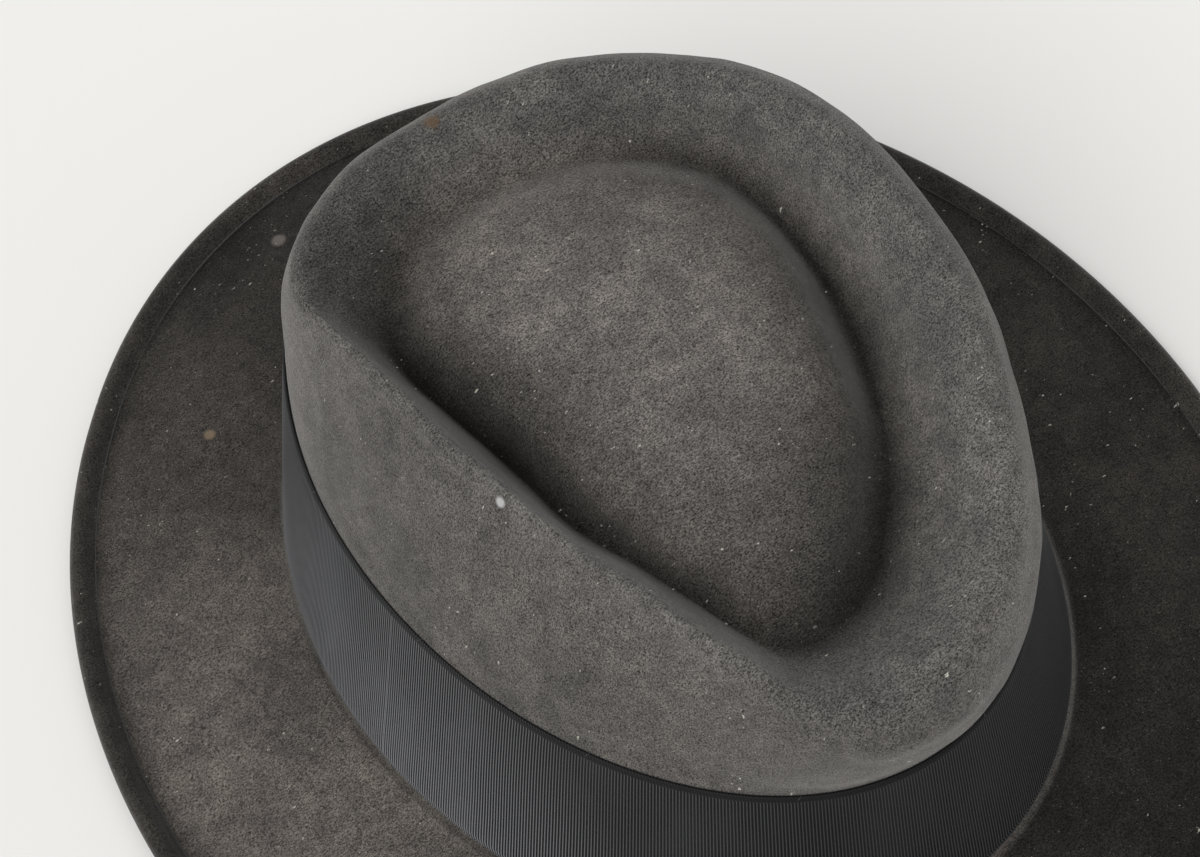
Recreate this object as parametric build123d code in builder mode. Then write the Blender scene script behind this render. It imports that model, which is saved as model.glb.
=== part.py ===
from build123d import *
import os
from math import atan2, cos, degrees, hypot, pi, sin

# Fedora hat: one fur-felt body with a teardrop crown, a grosgrain hatband with a flat bow,
# and the sweatband, lining and threads inside.
# Millimetres.  +Z is up, +X is the wearer's left, -Y is the front.  The origin is the middle
# of the brim, at the height of the surface that the hat rests on.

os.makedirs("parts", exist_ok=True)

# ---- felt body ----
felt = 2.0                   # thickness of the fur felt
brim_length = 325.6          # front to back, over the curled edge
brim_width = 268.4           # side to side
welt = 5.7                   # width of the turned-up edge of the brim
welt_height = 5.9            # top of the turned-up edge
crease_z = 2.2               # top of the brim in the crease just inside the edge
base_z = 5.1                 # top of the brim where it meets the crown
brim_break = 1.6             # how far the bend between crown and brim reaches outwards
# The edge of the brim, bottom to top, and the hollow inside its curl, as (height, inset)
brim_edge = [(0.0, welt + 1.0), (0.7, welt - 2.2), (1.9, 1.1), (3.6, 0.0), (5.1, 0.5), (welt_height, 2.0)]
curl_hollow = [(crease_z, welt), (3.8, welt - 1.0), (welt_height, welt - 2.3),
               (welt_height + 1, welt - 2.3)]
underside_inset = welt + 2.0  # the brim rests on the ring between this inset and its edge

# Ovals of the crown below the band's top edge, as (height, half width, half length, middle in Y)
crown_y = 1.5                # the crown stands this far behind the middle of the brim
crown_base = (base_z, 82.5, 105.5, crown_y)
band_line = (53.1, 67.9, 98.5, crown_y + 4.5)

# Above the band the crown leans in unevenly to its rim.  Every outline has one point for each
# twelfth of a turn, counter-clockwise from the wearer's left.
rim_outline = [(62, 5), (50, 46), (27, 65), (-4, 72), (-32, 69), (-47, 57),
               (-49, 10), (-45, -30), (-35, -69), (-6, -85), (28, -71), (53, -37)]
rim_z = 99.0                 # height of the rim over the origin
rim_tilt = (0.045, 0.053)    # its rise per millimetre towards the wearer's left and the back
wall_swell = 2.5             # how far the wall bulges between band and rim
crest = 4.0                  # how far the top of the rim stands above it
crest_inset = 2.8            # the rounded edge of the rim: how far its top stands in,
crest_turn = (0.8, 0.55)     # and a point on the way, as inset and share of the rise

# ---- teardrop dent in the top of the crown: the point is at the front ----
dent_outline = [(50, 7), (40, 37), (20, 53), (-5, 60), (-29, 58), (-42, 47),
                (-44, 10), (-41, -28), (-32, -64), (-8, -74), (20, -61), (42, -31)]
dent_middle = (-8, -6)       # the dent narrows towards this point as it goes down
dent_depth = 19.0
dent_top = crest + 4.0       # the cut starts this far above the rim
# Slope of the dent, from above the rim down to the floor, as (height over the rim, scale)
dent_slope = [(dent_top, 1.07), (crest, 1.0), (-dent_depth * 0.4, 0.95)]
dent_floor_scale = 0.86
bump_rise = 10.0             # the rounded rise in the middle of the dent's floor
# Slope of the rise, from the floor up, as (height over the floor, scale)
bump_slope = [(0.0, 0.62), (bump_rise * 0.7, 0.50), (bump_rise, 0.34)]

# ---- ribbon and its flat bow on the wearer's left ----
gap = 0.3                    # clearance between neighbouring layers
ribbon = 0.7                 # thickness of the grosgrain
ribbon_width = 48.0
bow_length = 92.0
bow_end_inset = 3.0          # how far the loops' edges stand in from the ribbon's, at their ends,
bow_full_inset = 1.2         # where they are fullest
bow_waist_inset = 5.0        # and under the knot
bow_knot_width = 17.0
knot_inset_z = 1.0           # how far the knot's ends stand in from the ribbon's edges
knot_corner = 3.0
knot_thickness = 1.6
loop_slack = 0.4             # air between the two layers of a loop
tail_length = 60.0
tail_slant = 9.0             # the tail's end is cut at a slant, shorter at the bottom
tail_cover = 4.0             # how far the tail runs on behind the knot
tail_inset_z = 1.5

# ---- sweatband and lining ----
sweat = 1.0                  # thickness of the leather
sweat_z = 3.4                # lower edge of the leather
sweat_width = 46.0
reed = 1.6                   # diameter of the reed
tape = 0.4                   # thickness of the cloth tape that joins leather to felt
tape_width = 6.5
back_bow = (24.0, 10.0)      # small bow at the back of the leather, length and height at its ends,
back_bow_waist = 4.4         # and at its middle
back_bow_rise = 15.0         # its middle over the leather's lower edge
back_bow_thickness = 1.2
lining = 0.4
lining_rise = 0.25           # the lining's tip stands this share of the way from band to rim
shield_thickness = 0.3
shield_margin = 14.0         # the clear shield stops this far inside the lining
tag_size = (14.0, 12.0)      # blank size tag, length and height
tag_corner = 1.5
tag_thickness = 0.3

# ---- sewing ----
thread = 0.6                 # thickness of every thread
thread_lift = 0.1            # clearance between a thread and what it is sewn to
welt_stitch_count, welt_stitch = 150, 3.2
tack_count, tack = 12, 3.0
sweat_stitch_count, sweat_stitch = 120, 2.6
sweat_stitch_rise = 2.0      # height of the row over the foot of the crown


def wall_oval(z):
    """Half width, half length and middle of the crown's oval at height z, below the rim."""
    share = (z - base_z) / (band_line[0] - base_z)
    return tuple(low + (high - low) * share for low, high in zip(crown_base[1:], band_line[1:]))


def oval(half_width, half_length, z, middle_y=0.0):
    """A flat oval face at height z."""
    with BuildSketch(Plane.XY.offset(z)) as face:
        with Locations((0, middle_y)):
            Ellipse(half_width, half_length)
    return face.sketch


def oval_points(z, inset):
    """One point for each twelfth of a turn of the crown's oval at height z, below the rim."""
    half_width, half_length, middle_y = wall_oval(z)
    turns = [2 * pi * index / len(rim_outline) for index in range(len(rim_outline))]
    return [((half_width - inset) * cos(turn), middle_y + (half_length - inset) * sin(turn))
            for turn in turns]


def outline_face(points, plane):
    """The face inside a smooth closed curve through the points."""
    with BuildSketch(plane) as face:
        with BuildLine():
            Spline(*points, periodic=True)
        make_face()
    return face.sketch


def layer(z, inset):
    """The face of the crown at height z, inset from its outside (negative is outwards)."""
    return outline_face(oval_points(z, inset), Plane.XY.offset(z))


def moved_out(point, middle, scale, grow):
    """A point scaled about a middle and then moved away from it."""
    dx, dy = point[0] - middle[0], point[1] - middle[1]
    stretch = scale + grow / hypot(dx, dy)
    return (middle[0] + dx * stretch, middle[1] + dy * stretch)


def tilted(z, share=1.0):
    """A plane at height z over the origin, tilted like the rim or by a share of it."""
    rise_x, rise_y = rim_tilt[0] * share, rim_tilt[1] * share
    return Plane(origin=(0, 0, z), x_dir=(1, 0, rise_x), z_dir=(-rise_x, -rise_y, 1))


def wall(rise, inset, drop=0.0):
    """The crown's outline above the band: rise 0 is the band's top edge and 1 is the rim."""
    swell = wall_swell * 4 * rise * (1 - rise)
    points = []
    for foot, rim_point in zip(oval_points(band_line[0], inset), rim_outline):
        rim = moved_out(rim_point, (0, 0), 1.0, -inset)
        mixed = tuple(low + (high - low) * rise for low, high in zip(foot, rim))
        points.append(moved_out(mixed, (0, 0), 1.0, swell))
    z = band_line[0] + (rim_z - band_line[0]) * rise
    return outline_face(points, tilted(z - drop, rise))


def dent(height, scale, grow=0.0):
    """The dent's outline at a height over the rim's plane, scaled about its middle."""
    points = [moved_out(point, dent_middle, scale, grow) for point in dent_outline]
    return outline_face(points, tilted(rim_z + height))


def brim_oval(z, inset):
    """A face of the brim's outline at height z."""
    return oval(brim_width / 2 - inset, brim_length / 2 - inset, z)


def wall_point(z, turn, inset):
    """A point of the crown wall at height z, and the heading of its outward normal."""
    half_width, half_length, middle_y = wall_oval(z)
    x, y = (half_width - inset) * cos(turn), (half_length - inset) * sin(turn)
    normal = atan2(half_width * sin(turn), half_length * cos(turn))
    return (x, y + middle_y, z), degrees(normal)


def stitch_places(count, z, inset, first=0.0, last=2 * pi):
    """Places along the crown wall for a row of stitches, X outwards and Y along the row."""
    step = (last - first) / count
    places = []
    for index in range(count):
        point, heading = wall_point(z, first + (index + 0.5) * step, inset)
        places.append(Location(point, (0, 0, heading)))
    return places


# ---- felt_body: crown and brim are one piece of felt ----
crown_foot = layer(base_z, -brim_break)
opening_edge = outline_face(oval_points(base_z, felt), Plane.XY.offset(base_z - felt))
wall_rises = [0.0, 0.25, 0.5, 0.75, 1.0]
bend_z = base_z + brim_break

with BuildPart() as felt_body:
    # brim: a shallow cone that falls outwards to the crease, then curls up at its edge
    loft(sections=[brim_oval(z, inset) for z, inset in brim_edge], ruled=True)
    loft(sections=[brim_oval(z, inset) for z, inset in curl_hollow], ruled=True, mode=Mode.SUBTRACT)
    loft(sections=[brim_oval(crease_z, welt), crown_foot], ruled=True)
    # crown, outside
    loft(sections=[crown_foot, layer(bend_z, 0.0), wall(0.0, 0.0)], ruled=True)
    loft(sections=[wall(rise, 0.0) for rise in wall_rises])
    loft(sections=[wall(1.0, 0.0), wall(1.0, crest_turn[0], -crest * crest_turn[1]),
                   wall(1.0, crest_inset, -crest)])
    loft(sections=[*[dent(height, scale) for height, scale in dent_slope],
                   dent(-dent_depth, dent_floor_scale)], ruled=True, mode=Mode.SUBTRACT)
    loft(sections=[dent(height - dent_depth, scale) for height, scale in bump_slope], ruled=True)
    # hollow of the brim's underside, up to the crown's opening
    loft(sections=[brim_oval(0.0, underside_inset), opening_edge], ruled=True, mode=Mode.SUBTRACT)

# The hollow of the crown: its inner wall, less the felt that hangs down in the dent
with BuildPart() as crown_hollow:
    extrude(layer(base_z, felt), amount=-base_z)
    loft(sections=[layer(base_z, felt), wall(0.0, felt)], ruled=True)
    loft(sections=[wall(rise, felt) for rise in wall_rises])
    loft(sections=[wall(1.0, felt), wall(1.0, felt + crest_inset, felt - crest)])
    loft(sections=[*[dent(height, scale, felt) for height, scale in dent_slope],
                   dent(-dent_depth - felt, dent_floor_scale, felt)], ruled=True, mode=Mode.SUBTRACT)
    loft(sections=[dent(height - dent_depth - felt, scale, -felt) for height, scale in bump_slope],
         ruled=True)
with felt_body:
    add(crown_hollow.part, mode=Mode.SUBTRACT)
felt_body.part.label = "felt_body"
export_step(felt_body.part, "parts/felt_body.step")


# ---- hatband_ribbon: one turn of grosgrain round the foot of the crown ----
ribbon_foot = bend_z + gap
ribbon_top = base_z + ribbon_width


def ring(low_z, high_z, outer, inner):
    """Faces of the outside and of the inside of a band that follows the crown wall."""
    return [layer(low_z, outer), layer(high_z, outer)], [layer(low_z, inner), layer(high_z, inner)]


outside, inside = ring(ribbon_foot, ribbon_top, -gap - ribbon, -gap)
with BuildPart() as hatband_ribbon:
    loft(sections=outside, ruled=True)
    loft(sections=inside, ruled=True, mode=Mode.SUBTRACT)
hatband_ribbon.part.label = "hatband_ribbon"
export_step(hatband_ribbon.part, "parts/hatband_ribbon.step")

# ---- the flat bow: tail, pleated loops and knot, each a patch of band outside the last ----
bow_z = (ribbon_foot + ribbon_top) / 2
bow_y = wall_oval(bow_z)[2]
tail_inset = -(2 * gap + ribbon)
loops_inset = tail_inset - ribbon - gap
loops_thickness = 2 * ribbon + loop_slack
knot_inset = loops_inset - loops_thickness - gap
half_ribbon = (ribbon_top - ribbon_foot) / 2
bow_plane = Plane.YZ.location * Location((bow_y, bow_z, 0))

outside, inside = ring(ribbon_foot, ribbon_top, tail_inset - ribbon, tail_inset)
with BuildPart() as bow_tail:
    loft(sections=outside, ruled=True)
    loft(sections=inside, ruled=True, mode=Mode.SUBTRACT)
    half_tail = half_ribbon - tail_inset_z
    with BuildSketch(bow_plane):
        with BuildLine():
            Polyline((-tail_cover, -half_tail), (tail_length - tail_slant, -half_tail),
                     (tail_length, half_tail), (-tail_cover, half_tail), close=True)
        make_face()
    extrude(amount=brim_width / 2, mode=Mode.INTERSECT)
bow_tail.part.label = "bow_tail"
export_step(bow_tail.part, "parts/bow_tail.step")

outside, inside = ring(ribbon_foot, ribbon_top, loops_inset - loops_thickness, loops_inset)
with BuildPart() as bow_loops:
    loft(sections=outside, ruled=True)
    loft(sections=inside, ruled=True, mode=Mode.SUBTRACT)
    end, full = half_ribbon - bow_end_inset, half_ribbon - bow_full_inset
    waist = half_ribbon - bow_waist_inset
    with BuildSketch(bow_plane):
        with BuildLine():
            Spline((-bow_length / 2, -end), (-bow_length / 4, -full), (0, -waist),
                   (bow_length / 4, -full), (bow_length / 2, -end))
            Line((bow_length / 2, -end), (bow_length / 2, end))
            Spline((bow_length / 2, end), (bow_length / 4, full), (0, waist),
                   (-bow_length / 4, full), (-bow_length / 2, end))
            Line((-bow_length / 2, end), (-bow_length / 2, -end))
        make_face()
    extrude(amount=brim_width / 2, mode=Mode.INTERSECT)
bow_loops.part.label = "bow_loops"
export_step(bow_loops.part, "parts/bow_loops.step")

outside, inside = ring(ribbon_foot, ribbon_top, knot_inset - knot_thickness, knot_inset)
with BuildPart() as bow_knot:
    loft(sections=outside, ruled=True)
    loft(sections=inside, ruled=True, mode=Mode.SUBTRACT)
    with BuildSketch(bow_plane):
        RectangleRounded(bow_knot_width, 2 * (half_ribbon - knot_inset_z), knot_corner)
    extrude(amount=brim_width / 2, mode=Mode.INTERSECT)
bow_knot.part.label = "bow_knot"
export_step(bow_knot.part, "parts/bow_knot.step")

# ---- welt_thread: the seam in the crease that holds the turned-up edge of the brim ----
welt_inset = welt + 2 * thread_lift
welt_reach_x, welt_reach_y = brim_width / 2 - welt_inset, brim_length / 2 - welt_inset
welt_places = []
for index in range(welt_stitch_count):
    turn = 2 * pi * (index + 0.5) / welt_stitch_count
    heading = atan2(welt_reach_x * sin(turn), welt_reach_y * cos(turn))
    welt_places.append(Location((welt_reach_x * cos(turn), welt_reach_y * sin(turn),
                                 crease_z + thread / 2 + thread_lift), (0, 0, degrees(heading))))
with BuildPart() as welt_thread:
    with Locations(*welt_places):
        Box(thread, welt_stitch, thread)
welt_thread.part.label = "welt_thread"
export_step(welt_thread.part, "parts/welt_thread.step")

# ---- hatband_tacks: hidden stitches that catch the top edge of the ribbon ----
tack_z = ribbon_top + thread / 2 + thread_lift
with BuildPart() as hatband_tacks:
    with Locations(*stitch_places(tack_count, tack_z, -thread / 2 - 2 * thread_lift)):
        Box(thread, tack, thread)
hatband_tacks.part.label = "hatband_tacks"
export_step(hatband_tacks.part, "parts/hatband_tacks.step")

# ---- sweatband_leather: inside the opening, with its lower edge at the brim ----
sweat_inset = felt + gap + lining + gap
sweat_top = sweat_z + sweat_width
outside, inside = ring(base_z, sweat_top, sweat_inset, sweat_inset + sweat)
with BuildPart() as sweatband_leather:
    loft(sections=outside, ruled=True)
    extrude(layer(base_z, sweat_inset), amount=sweat_z - base_z)
    loft(sections=inside, ruled=True, mode=Mode.SUBTRACT)
    extrude(layer(base_z, sweat_inset + sweat), amount=sweat_z - base_z, mode=Mode.SUBTRACT)
sweatband_leather.part.label = "sweatband_leather"
export_step(sweatband_leather.part, "parts/sweatband_leather.step")

# ---- sweatband_reed: the springy rod in the fold below the leather ----
reed_z = sweat_z - gap - reed / 2
reed_inset = sweat_inset + sweat / 2
reed_path = oval(crown_base[1] - reed_inset, crown_base[2] - reed_inset, reed_z,
                 crown_y).face().outer_wire()
with BuildPart() as sweatband_reed:
    with BuildSketch(Plane(reed_path @ 0, z_dir=reed_path % 0)):
        Circle(reed / 2)
    sweep(path=reed_path)
sweatband_reed.part.label = "sweatband_reed"
export_step(sweatband_reed.part, "parts/sweatband_reed.step")

# ---- reed_tape: the cloth strip between the leather and the felt ----
tape_inset = felt + gap
with BuildPart() as reed_tape:
    extrude(layer(base_z, tape_inset), amount=sweat_z - base_z)
    loft(sections=[layer(base_z, tape_inset), layer(sweat_z + tape_width, tape_inset)], ruled=True)
    extrude(layer(base_z, tape_inset + tape), amount=sweat_z - base_z, mode=Mode.SUBTRACT)
    loft(sections=[layer(base_z, tape_inset + tape), layer(sweat_z + tape_width, tape_inset + tape)],
         ruled=True, mode=Mode.SUBTRACT)
reed_tape.part.label = "reed_tape"
export_step(reed_tape.part, "parts/reed_tape.step")

# ---- sweatband_stitches: the row through leather and tape, just above the reed ----
sweat_stitch_inset = sweat_inset + sweat + thread_lift + thread / 2
with BuildPart() as sweatband_stitches:
    with Locations(*stitch_places(sweat_stitch_count, base_z + sweat_stitch_rise, sweat_stitch_inset)):
        Box(thread, sweat_stitch, thread)
sweatband_stitches.part.label = "sweatband_stitches"
export_step(sweatband_stitches.part, "parts/sweatband_stitches.step")

# ---- sweatband_bow: the small ribbon bow over the leather's join at the back ----
back_inset = sweat_inset + sweat + gap
outside, inside = ring(base_z, sweat_top, back_inset, back_inset + back_bow_thickness)
with BuildPart() as sweatband_bow:
    loft(sections=outside, ruled=True)
    loft(sections=inside, ruled=True, mode=Mode.SUBTRACT)
    side, tall, waist = back_bow[0] / 2, back_bow[1] / 2, back_bow_waist / 2
    with BuildSketch(Plane.XZ.location * Location((0, sweat_z + back_bow_rise, 0))):
        with BuildLine():
            Spline((-side, tall), (0, waist), (side, tall))
            Line((side, tall), (side, -tall))
            Spline((side, -tall), (0, -waist), (-side, -tall))
            Line((-side, -tall), (-side, tall))
        make_face()
    extrude(amount=-brim_length / 2, mode=Mode.INTERSECT)
sweatband_bow.part.label = "sweatband_bow"
export_step(sweatband_bow.part, "parts/sweatband_bow.step")

# ---- lining_side, lining_tip and tip_shield: the satin inside the crown ----
lining_inset = felt + gap
lining_foot = sweat_z + tape_width + gap
lining_sections = [[layer(lining_foot, inset), wall(0.0, inset), wall(lining_rise, inset)]
                   for inset in (lining_inset, lining_inset + lining)]
with BuildPart() as lining_side:
    loft(sections=lining_sections[0], ruled=True)
    loft(sections=lining_sections[1], ruled=True, mode=Mode.SUBTRACT)
lining_side.part.label = "lining_side"
export_step(lining_side.part, "parts/lining_side.step")

with BuildPart() as lining_tip:
    extrude(wall(lining_rise, lining_inset, -gap), amount=lining)
lining_tip.part.label = "lining_tip"
export_step(lining_tip.part, "parts/lining_tip.step")

with BuildPart() as tip_shield:
    extrude(wall(lining_rise, lining_inset + shield_margin, gap), amount=-shield_thickness)
tip_shield.part.label = "tip_shield"
export_step(tip_shield.part, "parts/tip_shield.step")

# ---- size_tag: a small blank slip between the leather and the lining, on the right ----
tag_inset = lining_inset + lining + thread_lift
tag_drop = 2.0               # the tag's middle is this far under the leather's top edge
outside, inside = ring(base_z, band_line[0], tag_inset, tag_inset + tag_thickness)
with BuildPart() as size_tag:
    loft(sections=outside, ruled=True)
    loft(sections=inside, ruled=True, mode=Mode.SUBTRACT)
    with BuildSketch(Plane.YZ.location * Location((crown_y, sweat_top - tag_drop, 0))):
        RectangleRounded(*tag_size, tag_corner)
    extrude(amount=-brim_width / 2, mode=Mode.INTERSECT)
size_tag.part.label = "size_tag"
export_step(size_tag.part, "parts/size_tag.step")
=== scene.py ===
import math

import bpy
import numpy as np
from mathutils import Matrix, Vector, noise


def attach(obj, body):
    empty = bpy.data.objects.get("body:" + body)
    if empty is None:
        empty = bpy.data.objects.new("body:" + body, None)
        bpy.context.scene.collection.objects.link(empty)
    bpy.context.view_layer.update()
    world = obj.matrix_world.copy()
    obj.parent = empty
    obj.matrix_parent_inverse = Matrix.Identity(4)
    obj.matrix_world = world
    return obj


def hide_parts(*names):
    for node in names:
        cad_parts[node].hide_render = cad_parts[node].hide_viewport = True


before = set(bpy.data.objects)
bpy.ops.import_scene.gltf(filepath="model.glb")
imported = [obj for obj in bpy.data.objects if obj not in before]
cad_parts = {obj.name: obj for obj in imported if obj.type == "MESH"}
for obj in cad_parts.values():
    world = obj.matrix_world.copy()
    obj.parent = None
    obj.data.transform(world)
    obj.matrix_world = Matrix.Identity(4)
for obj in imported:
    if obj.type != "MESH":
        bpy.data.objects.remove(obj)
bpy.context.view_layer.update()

# A charcoal fur-felt fedora.  Lengths below are in millimetres in the CAD's frame
# (+X the wearer's left, -Y the front) and MM turns them into the frame's metres.
MM = 0.001

# ---- sizes shared with the CAD ----
FELT = 2.0                           # thickness of the felt
BRIM_HALF = (134.2, 162.8)           # brim, half width and half length
BRIM_FLARE = 1.9                     # how much wider the brim is on the wearer's right
WELT = 5.7                           # width of the turned-up edge
CREASE_Z = 2.2                       # height of the crease where the welt starts
BASE_Z = 5.1                         # height of the crown's foot
BAND_Z = 53.1                        # height of the ribbon's upper edge
CROWN_BASE = (82.5, 105.5, 1.5)      # half width, half length and middle in Y
CROWN_BAND = (67.9, 98.5, 6.0)
GAP = 0.3                            # between the felt and what lies against it

# ---- camera ----
AZIMUTH = math.radians(-33.0)
ELEVATION = math.radians(56.51)
ROLL = math.radians(-7.12)
TARGET = (10.9, 39.55, 5.1)
DISTANCE = 566.6
LENS, SENSOR = 69.0, 36.0


def add_camera():
    """The camera stands over the front of the hat, on the wearer's right."""
    back = Vector((math.sin(AZIMUTH) * math.cos(ELEVATION),
                   -math.cos(AZIMUTH) * math.cos(ELEVATION), math.sin(ELEVATION)))
    right = (-back).cross(Vector((0, 0, 1))).normalized()
    up = right.cross(-back)
    turned_right = math.cos(ROLL) * right + math.sin(ROLL) * up
    turned_up = -math.sin(ROLL) * right + math.cos(ROLL) * up
    camera = bpy.data.objects.new("camera", bpy.data.cameras.new("camera"))
    camera.data.lens = LENS
    camera.data.sensor_width = SENSOR
    camera.data.clip_start = 0.01
    place = Matrix((turned_right, turned_up, back)).transposed().to_4x4()
    place.translation = (Vector(TARGET) + back * DISTANCE) * MM
    camera.matrix_world = place
    bpy.context.scene.collection.objects.link(camera)
    bpy.context.scene.camera = camera


add_camera()

# ---- materials ----
class Shader:
    """A new material whose nodes are added one by one."""

    def __init__(self, name):
        self.material = bpy.data.materials.new(name)
        self.material.use_nodes = True
        self.tree = self.material.node_tree
        self.surface = self.tree.nodes["Principled BSDF"]

    def put(self, socket, value):
        if isinstance(value, bpy.types.NodeSocket):
            self.tree.links.new(value, socket)
        elif value is not None:
            socket.default_value = value

    def node(self, kind, *inputs, out=0, **settings):
        made = self.tree.nodes.new("ShaderNode" + kind)
        for key, value in settings.items():
            setattr(made, key, value)
        for socket, value in zip(made.inputs, inputs):
            self.put(socket, value)
        return made.outputs[out]

    def place(self, scale=(1, 1, 1)):
        """Places on the object, in metres, stretched by a scale."""
        where = self.node("TexCoord", out=3)
        return self.node("Mapping", where, None, None, scale)

    def noise(self, scale, detail=2.0, rough=0.5, place=None):
        made = self.tree.nodes.new("ShaderNodeTexNoise")
        self.put(made.inputs["Vector"], place or self.place())
        self.put(made.inputs["Scale"], scale)
        self.put(made.inputs["Detail"], detail)
        self.put(made.inputs["Roughness"], rough)
        return made.outputs[0]

    def attribute(self, name, vector=False):
        return self.node("Attribute", attribute_name=name, out=1 if vector else 2)

    def math(self, operation, *values):
        return self.node("Math", *values, operation=operation)

    def between(self, value, low, high, out_low=0.0, out_high=1.0):
        """A value carried smoothly from one range to another and held there."""
        return self.node("MapRange", value, low, high, out_low, out_high,
                         interpolation_type="SMOOTHSTEP")

    def mix(self, share, first, second, blend="MIX"):
        made = self.tree.nodes.new("ShaderNodeMix")
        made.data_type, made.blend_type = "RGBA", blend
        for number, value in ((0, share), (6, first), (7, second)):
            plain = isinstance(value, tuple) and len(value) == 3
            self.put(made.inputs[number], (*value, 1.0) if plain else value)
        return made.outputs[2]

    def bump(self, height, distance, strength=1.0, under=None):
        made = self.tree.nodes.new("ShaderNodeBump")
        for name, value in (("Height", height), ("Distance", distance), ("Strength", strength),
                            ("Normal", under)):
            self.put(made.inputs[name], value)
        return made.outputs[0]

    def finish(self, **sockets):
        for name, value in sockets.items():
            socket = self.surface.inputs[name.replace("_", " ")]
            self.put(socket, (*value, 1.0) if isinstance(value, tuple) else value)
        return self.material


def felt_material():
    """Brushed fur felt: short mottled fibres, specks of lint and marks of wear.

    How light and how warm it is comes from numbers painted on the points; the lightness holds
    painted shade and painted light as well as the felt's own tone.
    """
    s = Shader("fur_felt")
    tone_and_painted_light, warmth = s.attribute("tone_and_painted_light"), s.attribute("warmth")
    grain = s.noise(2600.0, 4.0, 0.8)
    fibres = s.noise(1500.0, 3.0, 0.7, s.place((1.0, 2.4, 1.5)))
    patches = s.noise(30.0, 5.0, 0.62)
    nap = s.math("ADD", s.math("MULTIPLY", grain, 0.6), s.math("MULTIPLY", fibres, 0.4))
    nap = s.between(nap, 0.37, 0.64)
    colour = s.mix(nap, (0.0095, 0.0089, 0.0080), (0.166, 0.161, 0.156))
    cloud = s.mix(s.between(patches, 0.36, 0.64), (0.80, 0.80, 0.81), (1.18, 1.17, 1.16))
    mottle = s.mix(s.between(s.noise(210.0, 4.0, 0.7), 0.36, 0.64), (0.84, 0.84, 0.85),
                   (1.14, 1.14, 1.13))
    colour = s.mix(1.0, s.mix(1.0, colour, cloud, "MULTIPLY"), mottle, "MULTIPLY")
    colour = s.mix(warmth, s.mix(1.0, colour, (0.99, 1.0, 1.01), "MULTIPLY"),
                   s.mix(1.0, colour, (1.05, 0.985, 0.92), "MULTIPLY"))
    # Painted shade and painted light: the colour is multiplied by the lightness painted on the
    # points
    level = s.node("CombineColor", tone_and_painted_light, tone_and_painted_light, tone_and_painted_light)
    colour = s.mix(1.0, colour, level, "MULTIPLY")
    speck_size = s.noise(560.0, 2.0, 0.5, s.place((1.0, 1.9, 1.0)))
    speck_where = s.noise(70.0, 2.0, 0.5)
    speck = s.math("MULTIPLY", s.between(speck_size, 0.722, 0.748),
                   s.between(speck_where, 0.44, 0.56))
    dust = s.between(s.noise(2100.0, 1.0, 0.5), 0.73, 0.79)
    colour = s.mix(s.math("MULTIPLY", dust, 0.30), colour, (0.40, 0.38, 0.34))
    colour = s.mix(s.math("MULTIPLY", speck, 0.6), colour, (0.60, 0.58, 0.52))
    for turn, place_on_felt, size, shade, strength in FELT_MARKS:
        centre = tuple(float(value) * MM for value in felt_place(turn, place_on_felt))
        away = s.node("VectorMath", s.place(), centre, operation="DISTANCE", out=1)
        uneven = s.math("MULTIPLY", s.math("SUBTRACT", fibres, 0.5), size * MM * 0.9)
        ragged = s.math("ADD", away, uneven)
        mark = s.between(ragged, size * MM * 0.5, size * MM * 1.05, strength, 0.0)
        colour = s.mix(mark, colour, shade)
    normal = s.bump(nap, 0.0003, 0.38, s.bump(s.noise(260.0, 3.0, 0.6), 0.0004, 0.22))
    return s.finish(Base_Color=colour, Roughness=0.97, Normal=normal, Sheen_Weight=0.30,
                    Sheen_Roughness=0.38, Sheen_Tint=(0.92, 0.90, 0.88), Specular_IOR_Level=0.08)


def ribbon_material():
    """Grosgrain: fine ribs across the ribbon, painted as alternate light and dark lines: painted
    highlight on the crests and painted shade between them.
    """
    s = Shader("grosgrain_ribbon")
    cloth = s.attribute("cloth", vector=True)
    parts = s.tree.nodes.new("ShaderNodeSeparateXYZ")
    s.put(parts.inputs[0], cloth)
    along, across = parts.outputs[0], parts.outputs[1]
    rib = s.math("SINE", s.math("MULTIPLY", along, 2 * math.pi / (RIB_PITCH * MM)))
    rib = s.between(rib, -0.1, 0.95)
    weft = s.math("SINE", s.math("MULTIPLY", across, 2 * math.pi / (WEFT_PITCH * MM)))
    weft = s.between(weft, -1.0, 1.0)
    fuzz = s.noise(2600.0, 3.0, 0.6)
    worn = s.between(s.noise(46.0, 4.0, 0.62, s.place((1.0, 1.0, 0.45))), 0.42, 0.68)
    # Painted shade between the ribs and painted highlight on their crests
    colour = s.mix(rib, (0.0010, 0.0011, 0.0013), (0.070, 0.071, 0.075))
    colour = s.mix(s.math("MULTIPLY", weft, 0.16), colour, (0.018, 0.019, 0.022))
    colour = s.mix(s.math("MULTIPLY", worn, 0.22), colour, (0.046, 0.047, 0.050))
    colour = s.mix(s.math("MULTIPLY", s.between(fuzz, 0.55, 0.75), 0.14), colour,
                   (0.08, 0.08, 0.085))
    height = s.math("ADD", rib, s.math("MULTIPLY", weft, 0.3))
    # Painted light and shade carried on the points
    tone_and_painted_light = s.attribute("tone_and_painted_light")
    colour = s.mix(1.0, colour, s.node("CombineColor", tone_and_painted_light, tone_and_painted_light, tone_and_painted_light), "MULTIPLY")
    normal = s.bump(height, 0.00010, 0.7, s.bump(fuzz, 0.00012, 0.4))
    return s.finish(Base_Color=colour, Roughness=0.66, Normal=normal, Sheen_Weight=0.05,
                    Sheen_Roughness=0.4, Sheen_Tint=(0.88, 0.90, 0.94), Specular_IOR_Level=0.2)


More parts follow.
